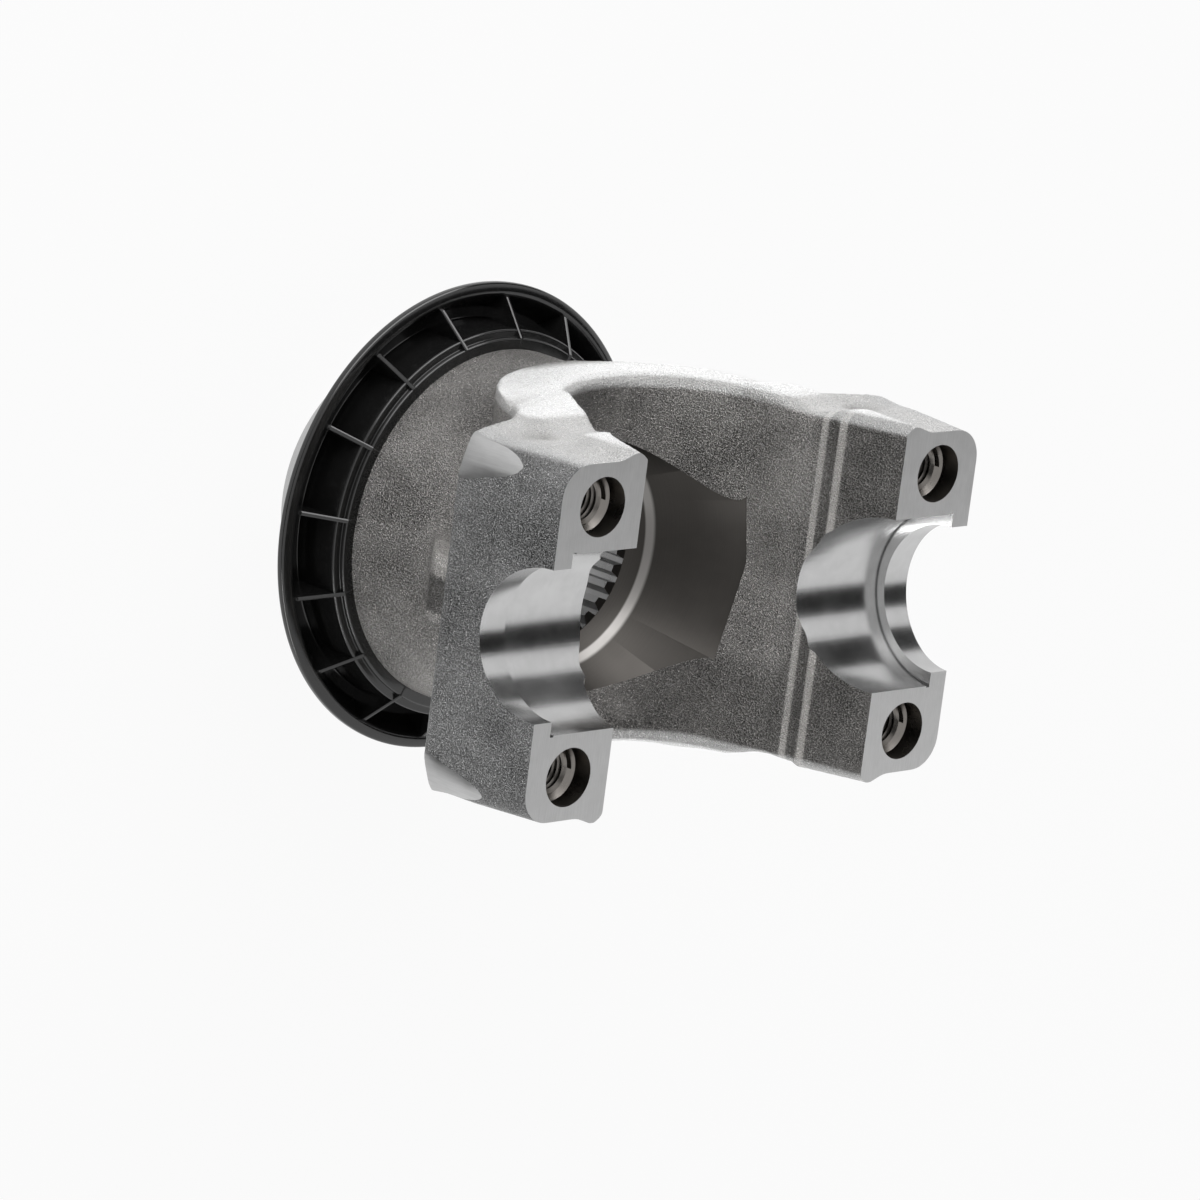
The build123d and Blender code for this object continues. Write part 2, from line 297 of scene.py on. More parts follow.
@dataclass(frozen=True)
class ForgedSkin:
    """Shot-blasted forging skin with fine dimples, painted highlights on crests and lands, and painted light
    and shade.

    Grains are in millimetres, and so are the spans: each gives where along an axis a
    tone begins to change and where it has changed.
    """

    dark: float = 0.01
    light: float = 0.49
    # Grey of the painted highlight on the lands and behind each ear
    highlight_level: float = 0.92
    warmth: float = 0.035
    metallic: float = 0.85
    roughness: float = 0.22
    dimple_roughness: float = 0.16
    grain: float = 0.62
    fine_grain: float = 0.31
    patch: float = 22.0
    relief_depth: float = 1.0
    # Painted shade on the ears' outer faces, and painted light on the barrel's low -Y side
    ear_out: Span = (78.0, 84.0)
    ear_painted_shade: float = 0.3
    barrel_up: Span = (96.0, 104.0)
    barrel_side: Span = (-42.0, -8.0)
    barrel_painted_light: float = 0.8
    # Painted light between the arms, and painted shade up to the ears and on the -Y side
    hollow_side: Span = (56.0, 60.0)
    hollow_floor: Span = (84.0, 96.0)
    hollow_painted_light: float = 0.4
    hollow_painted_shade_limit: float = -0.5
    mouth_up: Span = (134.0, 144.0)
    mouth_painted_shade: float = 0.85
    low_side: Span = (-34.0, -18.0)
    low_side_painted_shade: float = 0.75
    # Painted highlights on each boss's shoulders, and painted shade in its dent
    boss_out: Span = (60.0, 63.0)
    boss_up: Span = (112.0, 117.0)
    boss_top: Span = (2.0, 5.0)
    boss_bottom: Span = (-9.0, -7.0)
    boss_painted_tones: Point = (1.7, 1.4, 0.6)
    # Painted highlight on the flat sides' lands and in a line behind each ear
    land_turn: Span = (53.0, 54.6)
    land_face: Span = (56.4, 57.4)
    land_foot: Span = (72.0, 80.0)
    land_shares: Span = (0.45, 0.5)
    edge_out: Span = (93.2, 93.7)
    edge_foot: Span = (127.0, 127.6)
    edge_top: Span = (128.2, 128.8)
    edge_painted_highlight: float = 0.7
    # Painted highlights on the crests of the ridges, at these heights
    ridges: Span = (147.6, 141.8)
    ridge_side: Span = (0.5, 1.1)
    ridge_out: Span = (52.0, 56.0)
    ridge_painted_highlight: float = 0.6

    def _hollow_light_and_shade(self, x: Wire, y: Wire, z: Wire) -> Wire:
        """Painted light and shade between the arms: lighter at first, darker up to the ears and on the -Y
        side.

        Args:
            x, y, z: Where, in metres.

        Returns:
            What the skin's tone is multiplied by.
        """
        there = abs(x).short_of(self.hollow_side) * z.past(self.hollow_floor)
        scale = self.hollow_painted_light - z.past(self.mouth_up) * self.mouth_painted_shade
        scale = scale - y.short_of(self.low_side) * self.low_side_painted_shade
        return 1.0 + there * scale.at_least(self.hollow_painted_shade_limit)

    def _painted_boss_light_and_shade(self, x: Wire, y: Wire, z: Wire) -> Wire:
        """Painted light and shade on the small boss under each ear: painted highlights on its shoulders and
        painted shade in its dent.

        Args:
            x, y, z: Where, in metres.

        Returns:
            What the skin's tone is multiplied by.
        """
        there = abs(x).past(self.boss_out) * z.short_of(self.boss_up)
        top, bottom, hollow = self.boss_painted_tones
        return 1.0 + there * (y.past(self.boss_top) * top + y.short_of(self.boss_bottom) * bottom - hollow)

    def _painted_ridge_highlights(self, x: Wire, z: Wire) -> Wire:
        """Painted highlights on the crests of the two forging ridges at each ear's foot.

        Args:
            x, z: Where, in metres.

        Returns:
            What is added to the skin's tone.
        """
        out = abs(x).short_of(self.ridge_out)
        first, second = (abs(z - height * MM).short_of(self.ridge_side) * out for height in self.ridges)
        return (first + second) * self.ridge_painted_highlight

    def _painted_highlights(self, x: Wire, y: Wire, z: Wire) -> Wire:
        """Painted highlight on the flat sides' lands, and in a line behind each ear.

        Args:
            x, y, z: Where, in metres.

        Returns:
            Its share, from 0 to 1.
        """
        turn, face = self.land_shares
        rise = abs(y).past(self.land_turn) * turn + abs(y).past(self.land_face) * face
        edge = abs(x).past(self.edge_out) * z.past(self.edge_foot) * z.short_of(self.edge_top)
        return (rise * z.past(self.land_foot)).at_least(edge * self.edge_painted_highlight)

    def build(self) -> bpy.types.Material:
        """Make the finish.

        Returns:
            The material.
        """
        material, graph = new_material("forged_skin")
        place = graph.place()
        x, y, z = graph.parts(place)
        dimples = graph.noise(place, self.grain, 3.0, 0.6)
        fine = graph.noise(place, self.fine_grain, 2.0, 0.6)
        patches = graph.noise(place, self.patch, 3.0, 0.6)
        relief = dimples * 0.75 + fine * 0.25
        tone = fine.step(0.42, 0.66) * 0.6 + relief.step(0.36, 0.68) * 0.2 + patches.step(0.3, 0.7) * 0.2
        # Painted shade on the ears' outer faces, and painted light on the barrel's low -Y side
        ear = abs(x).past(self.ear_out)
        barrel = z.short_of(self.barrel_up) * y.short_of(self.barrel_side)
        outside = 1.1 - ear * self.ear_painted_shade + barrel * self.barrel_painted_light
        # Painted light and shade between the arms and on the bosses, and painted highlights on the ridges
        tone = tone * self._hollow_light_and_shade(x, y, z) * outside * self._painted_boss_light_and_shade(x, y, z) + self._painted_ridge_highlights(x, z)
        warm = graph.blend(tone, grey(self.dark, self.warmth), grey(self.light, self.warmth))
        cool = graph.blend(tone, grey(self.dark), grey(self.light))
        # Painted highlight: the lands and a line behind each ear turn a near-white grey
        colour = graph.blend(self._painted_highlights(x, y, z), graph.blend(ear, warm, cool), grey(self.highlight_level))
        rough = self.roughness + (1.0 - relief.step(0.3, 0.7)) * self.dimple_roughness
        normal = graph.bump(relief, self.relief_depth)
        graph.finish(Base_Color=colour, Metallic=self.metallic, Roughness=rough, Normal=normal)
        return material


@dataclass(frozen=True)
class BrightRing:
    """Brighter ring on a turned face, between two heights in millimetres."""

    low: float
    high: float
    level: float


@dataclass(frozen=True)
class CutFace:
    """Machined steel with fine tool marks along one direction, in millimetres."""

    name: str
    level: float
    roughness: float
    mark_size: Point = (0.25, 6.0, 6.0)
    mark_depth: float = 0.012
    stain_size: float = 9.0
    turned: Optional[Axis] = None
    turned_mark: float = 1.1
    warmth: float = 0.0
    ring: Optional[BrightRing] = None

    def _marks(self, graph: Graph, place: Wire) -> Wire:
        """Tool marks, which run round the axis of a turned face.

        Args:
            graph: The material's graph.
            place: Where, in metres.

        Returns:
            Their height, around 0.5.
        """
        x, _, z = graph.parts(place)
        if self.turned is Axis.X:
            return graph.noise(graph.vector(x * 4.0, 0.0, 0.0), self.turned_mark, 2.0, 0.6)
        if self.turned is Axis.Z:
            return graph.noise(graph.vector(0.0, 0.0, z * 4.0), self.turned_mark, 2.0, 0.6)
        factors = tuple(1.0 / size for size in self.mark_size)
        return graph.noise(graph.scaled(place, factors), 1.0, 2.0, 0.6)

    def build(self) -> bpy.types.Material:
        """Make the finish.

        Returns:
            The material.
        """
        material, graph = new_material(self.name)
        place = graph.place()
        marks = self._marks(graph, place)
        stain = graph.noise(place, self.stain_size, 3.0, 0.55)
        tone = marks.step(0.25, 0.75) * 0.5 + stain.step(0.25, 0.75) * 0.5
        colour = graph.blend(tone, grey(self.level * 0.86, self.warmth), grey(self.level * 1.08, self.warmth))
        if self.ring is not None:
            _, _, z = graph.parts(place)
            ring = self.ring
            bright_band = z.past((ring.low, ring.low + 0.5)) * z.short_of((ring.high - 1.2, ring.high))
            colour = graph.blend(bright_band, colour, grey(ring.level, self.warmth / 2))
        rough = self.roughness * (0.8 + 0.4 * stain)
        normal = graph.bump(marks, self.mark_depth)
        graph.finish(Base_Color=colour, Metallic=1.0, Roughness=rough, Normal=normal)
        return material


@dataclass(frozen=True)
class BlackMoulding:
    """Glossy black moulded plastic with a little dust and flow unevenness."""

    level: float = 0.008
    roughness: float = 0.16
    gloss: float = 0.6
    flow_size: float = 14.0
    flow_depth: float = 0.1
    dust_size: float = 1.6
    dust_roughness: float = 0.06

    def build(self) -> bpy.types.Material:
        """Make the finish.

        Returns:
            The material.
        """
        material, graph = new_material("black_moulding")
        place = graph.place()
        flow = graph.noise(place, self.flow_size, 2.0, 0.5)
        dust = graph.noise(place, self.dust_size, 3.0, 0.6)
        colour = graph.blend(dust.step(0.55, 0.8), grey(self.level), grey(self.level * 2.2))
        rough = self.roughness + dust.step(0.4, 0.8) * self.dust_roughness
        normal = graph.bump(flow, self.flow_depth)
        graph.finish(Base_Color=colour, Roughness=rough, Specular_IOR_Level=self.gloss, Normal=normal)
        return material


# Mesh helpers


def mesh_object(name: str, points: np.ndarray, faces: Sequence[Sequence[int]]) -> bpy.types.Object:
    """Make a mesh object from points in millimetres.

    Args:
        name: The object's name.
        points: Rows of x, y, z.
        faces: Loops of point indices.

    Returns:
        The linked object.
    """
    mesh = bpy.data.meshes.new(name)
    mesh.from_pydata((np.asarray(points, dtype=float) * MM).tolist(), [], faces)
    mesh.validate()
    mesh.update()
    made = bpy.data.objects.new(name, mesh)
    bpy.context.scene.collection.objects.link(made)
    return made


def set_surface(piece: bpy.types.Object, materials: Sequence[bpy.types.Material], surface: Surface) -> None:
    """Give a tool the yoke's material slots, with one of them on all its faces.

    Args:
        piece: The tool.
        materials: The yoke's finishes.
        surface: The finish that the tool leaves.
    """
    for material in materials:
        piece.data.materials.append(material)
    indices = np.full(len(piece.data.polygons), surface.value, dtype=np.int32)
    piece.data.polygons.foreach_set("material_index", indices)


def spun(profile: Profile, segments: int, axis: Axis, ring: bool = False, level: float = 0.0) -> Skin:
    """Turn a profile about an axis into a closed skin.

    Args:
        profile: Points of radius and height; unless ring is set, both ends lie on the axis.
        segments: Steps round the turn.
        axis: The axis.  The profile's height runs along it.
        ring: Whether the profile is a closed loop that stays off the axis.
        level: Height of an X axis above the row's origin.

    Returns:
        Points in millimetres, and faces.
    """
    inner = profile if ring else profile[1:-1]
    points: list[Point] = []
    for radius, height in inner:
        for step in range(segments):
            angle = 2 * pi * step / segments
            across, up = radius * cos(angle), radius * sin(angle)
            points.append((height, across, level + up) if axis is Axis.X else (across, up, height))
    rows = len(inner)
    faces: list[tuple[int, ...]] = []
    for row in range(rows if ring else rows - 1):
        here, above = row * segments, ((row + 1) % rows) * segments
        for step in range(segments):
            after = (step + 1) % segments
            faces.append((here + step, here + after, above + after, above + step))
    if not ring:
        for row, (_, height) in ((0, profile[0]), (rows - 1, profile[-1])):
            points.append((height, 0.0, level) if axis is Axis.X else (0.0, 0.0, height))
            for step in range(segments):
                after = (step + 1) % segments
                faces.append((len(points) - 1, row * segments + step, row * segments + after))
    return points, faces


def closed(piece: bpy.types.Object) -> bpy.types.Object:
    """Turn a closed mesh's faces outward.

    Args:
        piece: The mesh's object.

    Returns:
        The same object.
    """
    mesh = bmesh.new()
    mesh.from_mesh(piece.data)
    bmesh.ops.recalc_face_normals(mesh, faces=mesh.faces)
    mesh.to_mesh(piece.data)
    mesh.free()
    return piece


def combine(body: bpy.types.Object, tool: bpy.types.Object, operation: str) -> None:
    """Cut a closed tool from a body, or join it on, and remove the tool.

    Args:
        body: The mesh to change.
        tool: The closed tool.
        operation: DIFFERENCE, UNION or INTERSECT.
    """
    modifier = body.modifiers.new("machining", "BOOLEAN")
    modifier.operation = operation
    modifier.solver = "MANIFOLD"
    modifier.object = tool
    graph = bpy.context.evaluated_depsgraph_get()
    result = bpy.data.meshes.new_from_object(body.evaluated_get(graph), depsgraph=graph)
    body.modifiers.clear()
    before = body.data
    body.data = result
    bpy.data.meshes.remove(before)
    bpy.data.objects.remove(tool)


def smooth_by_angle(piece: bpy.types.Object, angle: float) -> None:
    """Shade a mesh smooth, with sharp edges where its faces meet steeply.

    Args:
        piece: The mesh's object.
        angle: The largest angle that is still smooth, in degrees.
    """
    mesh = bmesh.new()
    mesh.from_mesh(piece.data)
    limit = radians(angle)
    for edge in mesh.edges:
        edge.smooth = edge.is_manifold and edge.calc_face_angle(0.0) < limit
    for face in mesh.faces:
        face.smooth = True
    mesh.to_mesh(piece.data)
    mesh.free()


# Distance fields


def round_union(a: np.ndarray, b: np.ndarray, radius: float) -> np.ndarray:
    """Join two fields with a fillet of a radius where they meet."""
    reach = np.hypot(np.maximum(radius - a, 0), np.maximum(radius - b, 0))
    return np.maximum(radius, np.minimum(a, b)) - reach


def round_common(a: np.ndarray, b: np.ndarray, radius: float) -> np.ndarray:
    """Keep what two fields share, with their edge rounded to a radius."""
    reach = np.hypot(np.maximum(radius + a, 0), np.maximum(radius + b, 0))
    return np.minimum(-radius, np.maximum(a, b)) + reach


def bevel_common(a: np.ndarray, b: np.ndarray, width: float) -> np.ndarray:
    """Keep what two fields share, with a chamfer of a width on their edge."""
    return np.maximum(np.maximum(a, b), (a + b + width) / 2**0.5)


def surface_net(values: np.ndarray, origin: np.ndarray, step: float) -> tuple[np.ndarray, np.ndarray]:
    """Mesh the zero level of a sampled field with one point in each cell that it crosses.

    Args:
        values: The field on a grid, negative inside.
        origin: The grid's lowest corner.
        step: The grid's spacing.

    Returns:
        Points and quads.
    """
    inside = values < 0
    counts = sum(
        inside[i:i - 1 or None, j:j - 1 or None, k:k - 1 or None].astype(np.int8)
        for i in (0, 1) for j in (0, 1) for k in (0, 1)
    )
    cells = np.argwhere((counts > 0) & (counts < 8))
    numbers = np.full(counts.shape, -1, dtype=np.int64)
    numbers[tuple(cells.T)] = np.arange(len(cells))
    total = np.zeros((len(cells), 3))
    crossings = np.zeros(len(cells))
    for axis in range(3):
        others = [n for n in range(3) if n != axis]
        for first in (0, 1):
            for second in (0, 1):
                low = np.zeros(3, dtype=int)
                low[others[0]], low[others[1]] = first, second
                high = low.copy()
                high[axis] = 1
                a = values[tuple((cells + low).T)]
                b = values[tuple((cells + high).T)]
                crossed = (a < 0) != (b < 0)
                share = np.where(crossed, a / np.where(crossed, a - b, 1.0), 0.0)
                point = low + np.outer(share, high - low)
                total += np.where(crossed[:, None], point, 0.0)
                crossings += crossed
    points = origin + step * (cells + total / crossings[:, None])
    quads = []
    for axis in range(3):
        u, v = (axis + 1) % 3, (axis + 2) % 3
        start = [slice(0, n) for n in values.shape]
        start[axis] = slice(0, values.shape[axis] - 1)
        end = list(start)
        end[axis] = slice(1, values.shape[axis])
        a, b = inside[tuple(start)], inside[tuple(end)]
        edges = np.argwhere(a != b)
        edges = edges[(edges[:, u] > 0) & (edges[:, v] > 0)]
        leaving = a[tuple(edges.T)]
        du, dv = np.zeros(3, dtype=int), np.zeros(3, dtype=int)
        du[u], dv[v] = 1, 1
        ring = [edges - du - dv, edges - dv, edges, edges - du]
        loop = np.stack([numbers[tuple(corner.T)] for corner in ring], axis=1)
        quads.append(np.where(leaving[:, None], loop, loop[:, ::-1]))
    return points, np.concatenate(quads)


# The yoke


@dataclass
class Forging:
    """The yoke as it leaves the forging die, in millimetres."""

    pad_height: float = PAD_HEIGHT
    ear_span: float = 179.2
    ear_half_width: float = 54.4
    ear_depth: float = 39.5
    ear_root_depth: float = 50.5
    ear_corner_r: float = 10.0
    ear_back_r: float = 1.2
    outer_draft: float = 7.2
    crease_depth: float = 33.0
    crease_r: float = 10.0
    crease_cut: float = 0.9
    crease_reach: float = 64.0
    crease_fade: float = 0.12
    crease_edge_r: float = 5.0
    band_r: float = 60.5
    band_depth: float = 36.5
    band_edge_r: float = 1.5
    pocket_r: float = 8.0
    land_half_width: float = 58.0
    land_full_depth: float = 74.0
    root_half_width: float = 55.8
    barrel_r: float = BARREL_R
    barrel_top_depth: float = 58.0
    barrel_edge_r: float = 3.0
    barrel_fillet: float = 3.0
    bump_reach: float = 73.0
    bump_half: float = 11.0
    bump_top_depth: float = 46.0
    bump_low_depth: float = 84.0
    bump_r: float = 1.8
    bump_fillet: float = 2.6
    dent_depth: float = 1.8
    dent_y: float = -1.0
    dent_half: float = 4.5
    mouth_half: float = 56.3
    face_foot_depth: float = 20.0
    face_foot_half: float = 50.5
    ridge_half: float = 46.6
    ridge_pitch: float = 7.5
    ridge_height: float = 1.6
    hollow_r: float = 60.0
    hollow_depth: float = 26.5
    hollow_plus: Point = (5.0, 35.0, 42.3)
    hollow_minus: Point = (0.0, 18.5, 50.0)
    hollow_turn_r: float = 1.0
    hollow_turn_depth: float = 55.0
    hollow_share_limit: float = 3.0
    wall_slope: float = 0.95
    throat_chamfer: float = 3.2
    foot: float = 44.0
    stock: float = 2.0
    unevenness: float = 0.05
    wave_seed: int = 7
    wave_lengths: Point = (60.0, 38.0, 24.0)
    wave_range: float = 8.0
    grid_step: float = 1.3
    grid_margin: float = 4.0
    grid_reach: Span = (98.0, 61.5)

    def _grid(self) -> tuple[np.ndarray, np.ndarray, np.ndarray, np.ndarray]:
        """Lay the grid over the forging.

        Returns:
            Its lowest corner and its three coordinates, ready to broadcast.
        """
        across, along = self.grid_reach
        low = np.array([-across, -along, self.foot - self.grid_margin])
        high = np.array([across, along, self.pad_height + self.stock + self.grid_margin])
        counts = np.ceil((high - low) / self.grid_step).astype(int) + 1
        x, y, z = (low[n] + self.grid_step * np.arange(counts[n]) for n in range(3))
        return low, x[:, None, None], y[None, :, None], z[None, None, :]

    def _side(self, x: np.ndarray, y: np.ndarray, depth: np.ndarray) -> np.ndarray:
        """Field of the two flat sides, with the shallow valley across each ear.

        Args:
            x, y, depth: The grid, with its depth under the pads.

        Returns:
            The field.
        """
        depths = [0.0, self.ear_root_depth, self.land_full_depth]
        widths = [self.ear_half_width, self.root_half_width, self.land_half_width]
        half = np.interp(depth, depths, widths)
        side = np.abs(y) - half
        faded = np.maximum(np.abs(x) - self.crease_reach, 0) * self.crease_fade
        centre = half + self.crease_r - self.crease_cut + faded
        valley = self.crease_r - np.hypot(np.abs(y) - centre, depth - self.crease_depth)
        return round_common(side, valley, self.crease_edge_r)

    def _ears(self, x: np.ndarray, side: np.ndarray, depth: np.ndarray) -> np.ndarray:
        """Field of the two ears, open below toward the arms.

        Args:
            x, depth: The grid, with its depth under the pads.
            side: Field of the flat sides.

        Returns:
            The field.
        """
        draft = radians(self.outer_draft)
        outer = (np.abs(x) - self.ear_span / 2 - depth * tan(draft)) * cos(draft)
        back_half = self.ear_span / 2 + self.ear_depth * tan(draft)
        rise = self.ear_root_depth - self.ear_depth
        run = back_half - self.band_r
        across = (depth - self.ear_depth) * run + (np.abs(x) - back_half) * rise
        back = across / hypot(run, rise)
        walls = round_common(outer, side, self.ear_corner_r)
        return round_common(walls, back, self.ear_back_r)

    def _hollow(self, x: np.ndarray, y: np.ndarray, depth: np.ndarray) -> np.ndarray:
        """Field of the space between the ears and arms, without the turned bowl.

        Its floor is round in section, and its radius and centre change from the hub's axis to
        the two flat sides.  Above the turn it follows the arms' straight walls.

        Args:
            x, y, depth: The grid, with its depth under the pads.

        Returns:
            The field.
        """
        out = np.abs(y) / self.land_half_width
        end_x, end_depth, end_r = (
            np.where(y > 0, plus, minus) for plus, minus in zip(self.hollow_plus, self.hollow_minus)
        )
        radius = self.hollow_r + (end_r - self.hollow_r) * out
        centre = self.hollow_depth + (end_depth - self.hollow_depth) * out
        half = np.sqrt(radius**2 - (self.hollow_turn_depth - centre) ** 2)
        across = np.abs(x - end_x * out)
        turn = self.hollow_turn_depth - centre
        tangent = (across * half + (depth - centre) * turn) / radius - radius
        bowl = np.where(depth > self.hollow_turn_depth, np.hypot(across, depth - centre) - radius, tangent)
        ridge_depth = self.face_foot_depth + self.ridge_pitch
        share = (depth - ridge_depth) / (self.hollow_turn_depth - ridge_depth)
        share = np.clip(share, 0, self.hollow_share_limit)
        arm = self.ridge_half + (half - self.ridge_half) * share
        foot = self.face_foot_depth
        ridge = self.ridge_half
        step = self.ridge_height
        depths = [-10.0, 0.0, foot, foot + step, foot + self.ridge_pitch / 2, ridge_depth]
        mouth = self.mouth_half
        halves = [mouth, mouth, self.face_foot_half, ridge + step, ridge + 2 * step, ridge]
        ear = np.interp(depth, depths, halves)
        wall = np.abs(x - end_x * out * share) - np.where(depth < ridge_depth, ear, arm)
        return round_common(wall * self.wall_slope, bowl, self.hollow_turn_r)

    def _bump(self, x: np.ndarray, y: np.ndarray, depth: np.ndarray) -> np.ndarray:
        """Field of the small dented boss under each ear, chamfered where it runs into the barrel.

        Args:
            x, y, depth: The grid, with its depth under the pads.

        Returns:
            The field.
        """
        slant = (depth - self.bump_low_depth + np.abs(x) - self.barrel_r) / 2**0.5
        dented = self.bump_reach - self.dent_depth * np.exp(-(((y - self.dent_y) / self.dent_half) ** 2))
        faces = round_common(np.abs(x) - dented, slant, self.bump_r)
        walls = round_common(faces, np.abs(y) - self.bump_half, self.bump_r)
        return np.maximum(walls, self.bump_top_depth - depth)

    def field(self) -> tuple[np.ndarray, np.ndarray]:
        """Sample the whole forging.

        Returns:
            The grid's lowest corner and the field.
        """
        low, x, y, z = self._grid()
        depth = self.pad_height - z
        side = self._side(x, y, depth)
        ears = self._ears(x, side, depth)
        band = np.hypot(x, np.maximum(depth - self.band_depth, 0)) - self.band_r
        arms = round_common(band, side, self.band_edge_r)
        fork = round_union(ears, arms, self.pocket_r)
        barrel = np.hypot(x, y) - self.barrel_r
        barrel = round_common(barrel, self.barrel_top_depth - depth, self.barrel_edge_r)
        body = round_union(fork, barrel, self.barrel_fillet)
        body = round_union(body, self._bump(x, y, depth), self.bump_fillet)
        body = bevel_common(body, -self._hollow(x, y, depth), self.throat_chamfer)
        body = body + self._waves(x, y, z)
        ends = np.maximum(self.foot - z, z - self.pad_height - self.stock)
        return low, np.maximum(body, ends)

    def _waves(self, x: np.ndarray, y: np.ndarray, z: np.ndarray) -> np.ndarray:
        """Slow unevenness of the forged skin, which only ever takes metal away.

        Args:
            x, y, z: The grid.

        Returns:
            What is added to the forging's field.
        """
        total = np.zeros(np.broadcast_shapes(x.shape, y.shape, z.shape))
        draw = np.random.default_rng(self.wave_seed)
        for length in self.wave_lengths:
            for _ in range(3):
                way = draw.normal(size=3)
                way *= 2 * pi / length / np.linalg.norm(way)
                wave = np.sin(way[0] * x + way[1] * y + way[2] * z + draw.uniform(0, 2 * pi))
                total += wave * length / self.wave_lengths[1]
        return self.unevenness * (0.5 + total / self.wave_range)

    def build(self) -> bpy.types.Object:
        """Mesh the forging.

        Returns:
            The closed skin.
        """
        low, values = self.field()
        points, quads = surface_net(values, low, self.grid_step)
        LOG.info("forging: %d points, %d quads", len(points), len(quads))
        return closed(mesh_object(YOKE_NODE + "_machined", points, quads.tolist()))


@dataclass
class Machining:
    """Everything that is cut into the forging, in millimetres."""

    pad_height: float = PAD_HEIGHT
    swing_r: float = 103.2
    saddle_r: float = 27.5
    saddle_drop: float = SADDLE_DROP
    shoulder_half: float = 82.4
    lip_r: float = 23.3
    groove_width: float = 1.4
    groove_depth: float = 0.5
    bowl_floor_r: float = 36.0
    bowl_floor_depth: float = 84.0
    bowl_rim_r: float = 53.0
    bowl_rim_depth: float = 55.5
    spline_depth: float = 88.0
    spline_major_r: float = 31.5
    spline_minor_r: float = 28.5
    spline_teeth: int = 32
    space_share: float = 0.62
    tip_share: float = 0.45
    relief_r: float = 33.0
    relief_length: float = 16.0
    bolt_x: float = 72.6
    bolt_y: float = 41.1
    counterbore_r: float = 9.1
    counterbore_depth: float = 6.5
    thread_r: float = 7.0
    thread_depth: float = 30.0
    point_angle: float = 59.0
    shoulder_depth: float = 119.0
    seat_r: float = 52.5
    seat_foot: float = 27.0
    journal_r: float = 44.0
    chamfer: float = 2.0
    overlap: float = 1.0
    facing_reach: float = 90.0
    tool_reach: float = 130.0
    tool_top: float = 190.0
    swing_tool: Point = (100.0, 180.0, 150.0)
    saddle_tool_half: float = 110.0
    floor_sink: float = 0.5
    broach_clearance: float = 0.1
    broach_rise: float = 3.0
    tool_foot: float = -5.0
    drill_rise: float = 3.0

    def pads(self) -> Skin:
        """Tool over the four pads."""
        reach, low, high = self.tool_reach, self.pad_height, self.tool_top
        return spun([(0, low), (reach, low), (reach, high), (0, high)], 48, Axis.Z)

    def swing(self) -> Skin:
        """Tool round the ears' rear corners.

        Returns:
            Points and faces.
        """
        low, high, reach = self.swing_tool
        loop = [(self.swing_r, low), (reach, low), (reach, high), (self.swing_r, high)]
        return spun(loop, 360, Axis.Z, ring=True)

    def saddles(self) -> Skin:
        """Tool for both saddles, their relief grooves and the lips' bore.

        Returns:
            Points and faces.
        """
        half, foot = self.shoulder_half, self.shoulder_half - self.groove_width
        groove_r = self.saddle_r + self.groove_depth
        end = self.saddle_tool_half
        saddle = [(self.saddle_r, foot), (groove_r, foot), (groove_r, half)]
        right = [*saddle, (self.lip_r, half), (self.lip_r, end)]
        left = [(radius, -height) for radius, height in reversed(right)]
        profile = [(0, -end), *left, *right, (0, end)]
        return spun(profile, 192, Axis.X, level=self.pad_height - self.saddle_drop)

    def bowl(self) -> Skin:
        """Tool for the turned bowl and the lead-in of the spline.

        Returns:
            Points and faces.
        """
        top = self.pad_height
        foot = top - self.spline_depth - self.floor_sink
        profile = [
            (0, foot),
            (self.spline_minor_r, foot),
            (self.spline_major_r + self.broach_clearance, top - self.spline_depth),
            (self.bowl_floor_r, top - self.bowl_floor_depth),
            (self.bowl_rim_r, top - self.bowl_rim_depth),
            (0, top - self.bowl_rim_depth),
        ]
        return spun(profile, 256, Axis.Z)

    def spline(self) -> Skin:
        """Broach for the internal spline.

        Returns:
            Points and faces.
        """
        pitch = 2 * pi / self.spline_teeth
        outline: list[tuple[float, float]] = []
        wide = pitch * self.space_share / 2
        narrow = wide * self.tip_share
        for tooth in range(self.spline_teeth):
            middle = tooth * pitch
            outline += [
                (self.spline_minor_r, middle - wide),
                (self.spline_major_r, middle - narrow),
                (self.spline_major_r, middle + narrow),
                (self.spline_minor_r, middle + wide),
            ]
        flat = [(radius * cos(angle), radius * sin(angle)) for radius, angle in outline]
        levels = (self.tool_foot, self.pad_height - self.spline_depth + self.broach_rise)
        points = [(x, y, z) for z in levels for x, y in flat]
        count = len(flat)
        sides = [(n, (n + 1) % count, count + (n + 1) % count, count + n) for n in range(count)]
        return points, [*sides, tuple(range(count)), tuple(range(count, 2 * count))]

    def relief(self) -> Skin:
        """Tool for the counterbore at the hub end."""
        radius, foot, top = self.relief_r, self.tool_foot, self.relief_length
        return spun([(0, foot), (radius, foot), (radius, top), (0, top)], 160, Axis.Z)

    def hub_end(self) -> Skin:
        """The turned hub below the shoulder, which is joined to the forging.

        Returns:
            Points and faces.
        """
        seat_top = self.pad_height - self.shoulder_depth
        profile = [
            (0, 0),
            (self.journal_r - self.chamfer, 0),
            (self.journal_r, self.chamfer),
            (self.journal_r, self.seat_foot),
            (self.seat_r, self.seat_foot),
            (self.seat_r, seat_top + self.overlap),
            (0, seat_top + self.overlap),
        ]
        return spun(profile, 192, Axis.Z)

    def below_shoulder(self) -> Skin:
        """Tool that faces the shoulder."""
        reach, top = self.facing_reach, self.pad_height - self.shoulder_depth
        return spun([(0, 0), (reach, 0), (reach, top), (0, top)], 64, Axis.Z)

